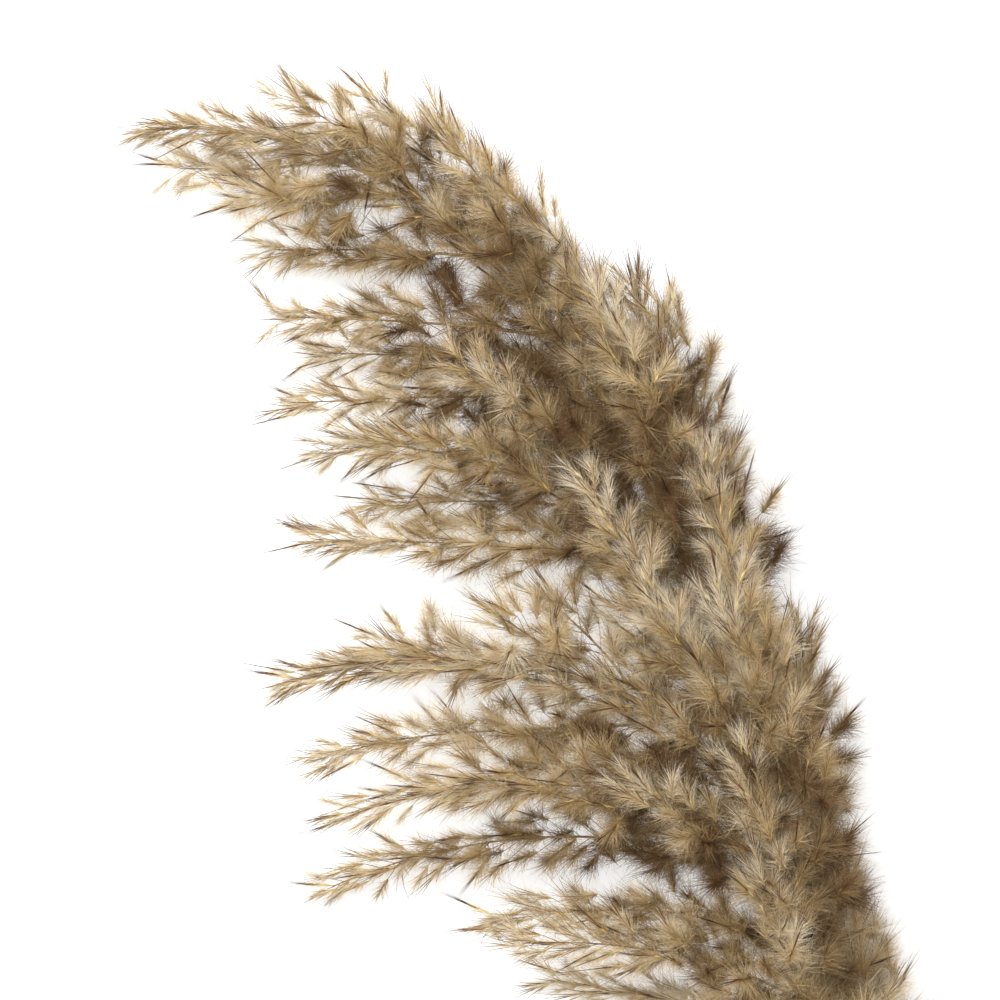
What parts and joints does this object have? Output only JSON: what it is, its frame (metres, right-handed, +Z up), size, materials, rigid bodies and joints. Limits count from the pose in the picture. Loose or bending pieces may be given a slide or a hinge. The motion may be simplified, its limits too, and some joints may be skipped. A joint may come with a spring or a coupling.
{
  "type": "bundle of dried common reed",
  "caption": "Small tied bundle of dried common reed, lying down, with hollow culms and feathery plumes that nod to one side.",
  "frame": {"origin": "on the surface that the bundle lies on, under the middle of its bounding box", "axes": "+Y from the cut ends to the plumes, the longest way; +X to the side away from which the plumes nod; +Z up, the shortest way"},
  "size_m": [0.2686, 0.5824, 0.0704],
  "materials": {
    "culm": "dry glossy straw",
    "plume": "dry, silky and matt",
    "twine": "twisted jute"
  },
  "bodies": {
    "root": {"reed_1_stem": "culm", "reed_1_branch_01": "plume", "reed_1_branch_02": "plume", "reed_1_branch_03": "plume", "reed_1_branch_04": "plume", "reed_1_branch_05": "plume", "reed_1_branch_06": "plume", "reed_1_branch_07": "plume", "reed_1_branch_08": "plume", "reed_1_branch_09": "plume", "reed_1_branch_10": "plume", "reed_1_branch_11": "plume", "reed_1_branch_12": "plume", "reed_1_branch_13": "plume", "reed_1_branch_14": "plume", "reed_1_branch_15": "plume", "reed_1_branch_16": "plume", "reed_1_branch_17": "plume", "reed_1_branch_18": "plume", "reed_1_branch_19": "plume", "reed_1_branch_20": "plume", "reed_2_stem": "culm", "reed_2_branch_01": "plume", "reed_2_branch_02": "plume", "reed_2_branch_03": "plume", "reed_2_branch_04": "plume", "reed_2_branch_05": "plume", "reed_2_branch_06": "plume", "reed_2_branch_07": "plume", "reed_2_branch_08": "plume", "reed_2_branch_09": "plume", "reed_2_branch_10": "plume", "reed_2_branch_11": "plume", "reed_2_branch_12": "plume", "reed_2_branch_13": "plume", "reed_2_branch_14": "plume", "reed_2_branch_15": "plume", "reed_2_branch_16": "plume", "reed_2_branch_17": "plume", "reed_2_branch_18": "plume", "reed_3_stem": "culm", "reed_3_branch_01": "plume", "reed_3_branch_02": "plume", "reed_3_branch_03": "plume", "reed_3_branch_04": "plume", "reed_3_branch_05": "plume", "reed_3_branch_06": "plume", "reed_3_branch_07": "plume", "reed_3_branch_08": "plume", "reed_3_branch_09": "plume", "reed_3_branch_10": "plume", "reed_3_branch_11": "plume", "reed_3_branch_12": "plume", "reed_3_branch_13": "plume", "reed_3_branch_14": "plume", "twine_binding": "twine"}
  },
  "joints": []
}
